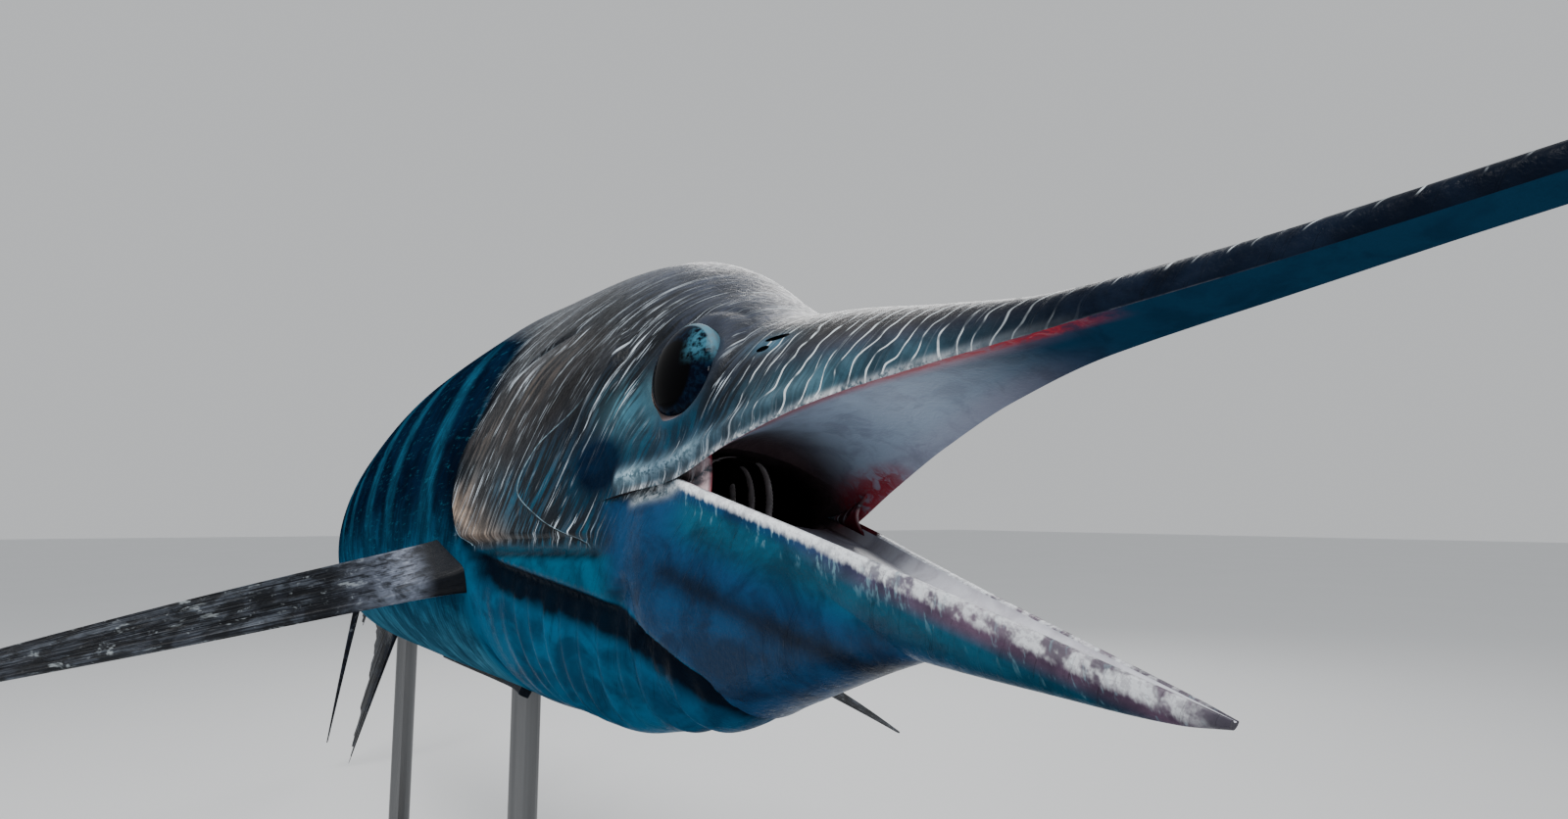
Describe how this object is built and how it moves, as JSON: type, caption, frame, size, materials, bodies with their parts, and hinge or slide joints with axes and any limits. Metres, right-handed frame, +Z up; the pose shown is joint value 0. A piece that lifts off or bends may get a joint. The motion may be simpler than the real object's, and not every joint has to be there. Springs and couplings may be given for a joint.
{
  "type": "striped marlin",
  "caption": "Life-size still model of a striped marlin with open mouth and spread pectoral fins, held up by two rods on a flat base.",
  "frame": {"origin": "centre of the underside of the stand's base", "axes": "+X towards the fish's bill, +Y towards the fish's left, +Z up"},
  "size_m": [3.1371, 1.1002, 0.9465],
  "materials": {
    "bill": "dark slate bill, satin",
    "head": "slate to bronze skin with fine pale streaks, wet satin",
    "lower_jaw": "steel blue skin with a pale rim, wet satin",
    "throat": "teal blue skin with a dark band, wet satin",
    "gill_cover": "bronze and slate with pale streaks, wet satin",
    "eye": "near black, glossy",
    "trunk": "dark blue back with pale bars and a silvery belly, wet satin",
    "fin": "dark grey brown membrane over rays, satin",
    "base": "black stained wood, satin",
    "rod": "brushed"
  },
  "bodies": {
    "root": {"bill": "bill", "head": "head", "lower_jaw": "lower_jaw", "throat": "throat", "gill_cover_left": "gill_cover", "gill_cover_right": "gill_cover", "eye_left": "eye", "eye_right": "eye", "chest": "trunk", "trunk": "trunk", "rear_trunk": "trunk", "tail_stem": "trunk", "first_dorsal_fin": "fin", "second_dorsal_fin": "fin", "first_anal_fin": "fin", "second_anal_fin": "fin", "pectoral_fin_left": "fin", "pectoral_fin_right": "fin", "pelvic_fin_left": "fin", "pelvic_fin_right": "fin", "tail_fin_upper": "fin", "tail_fin_lower": "fin", "stand_base": "base", "stand_rod_front": "rod", "stand_rod_rear": "rod"}
  },
  "joints": []
}
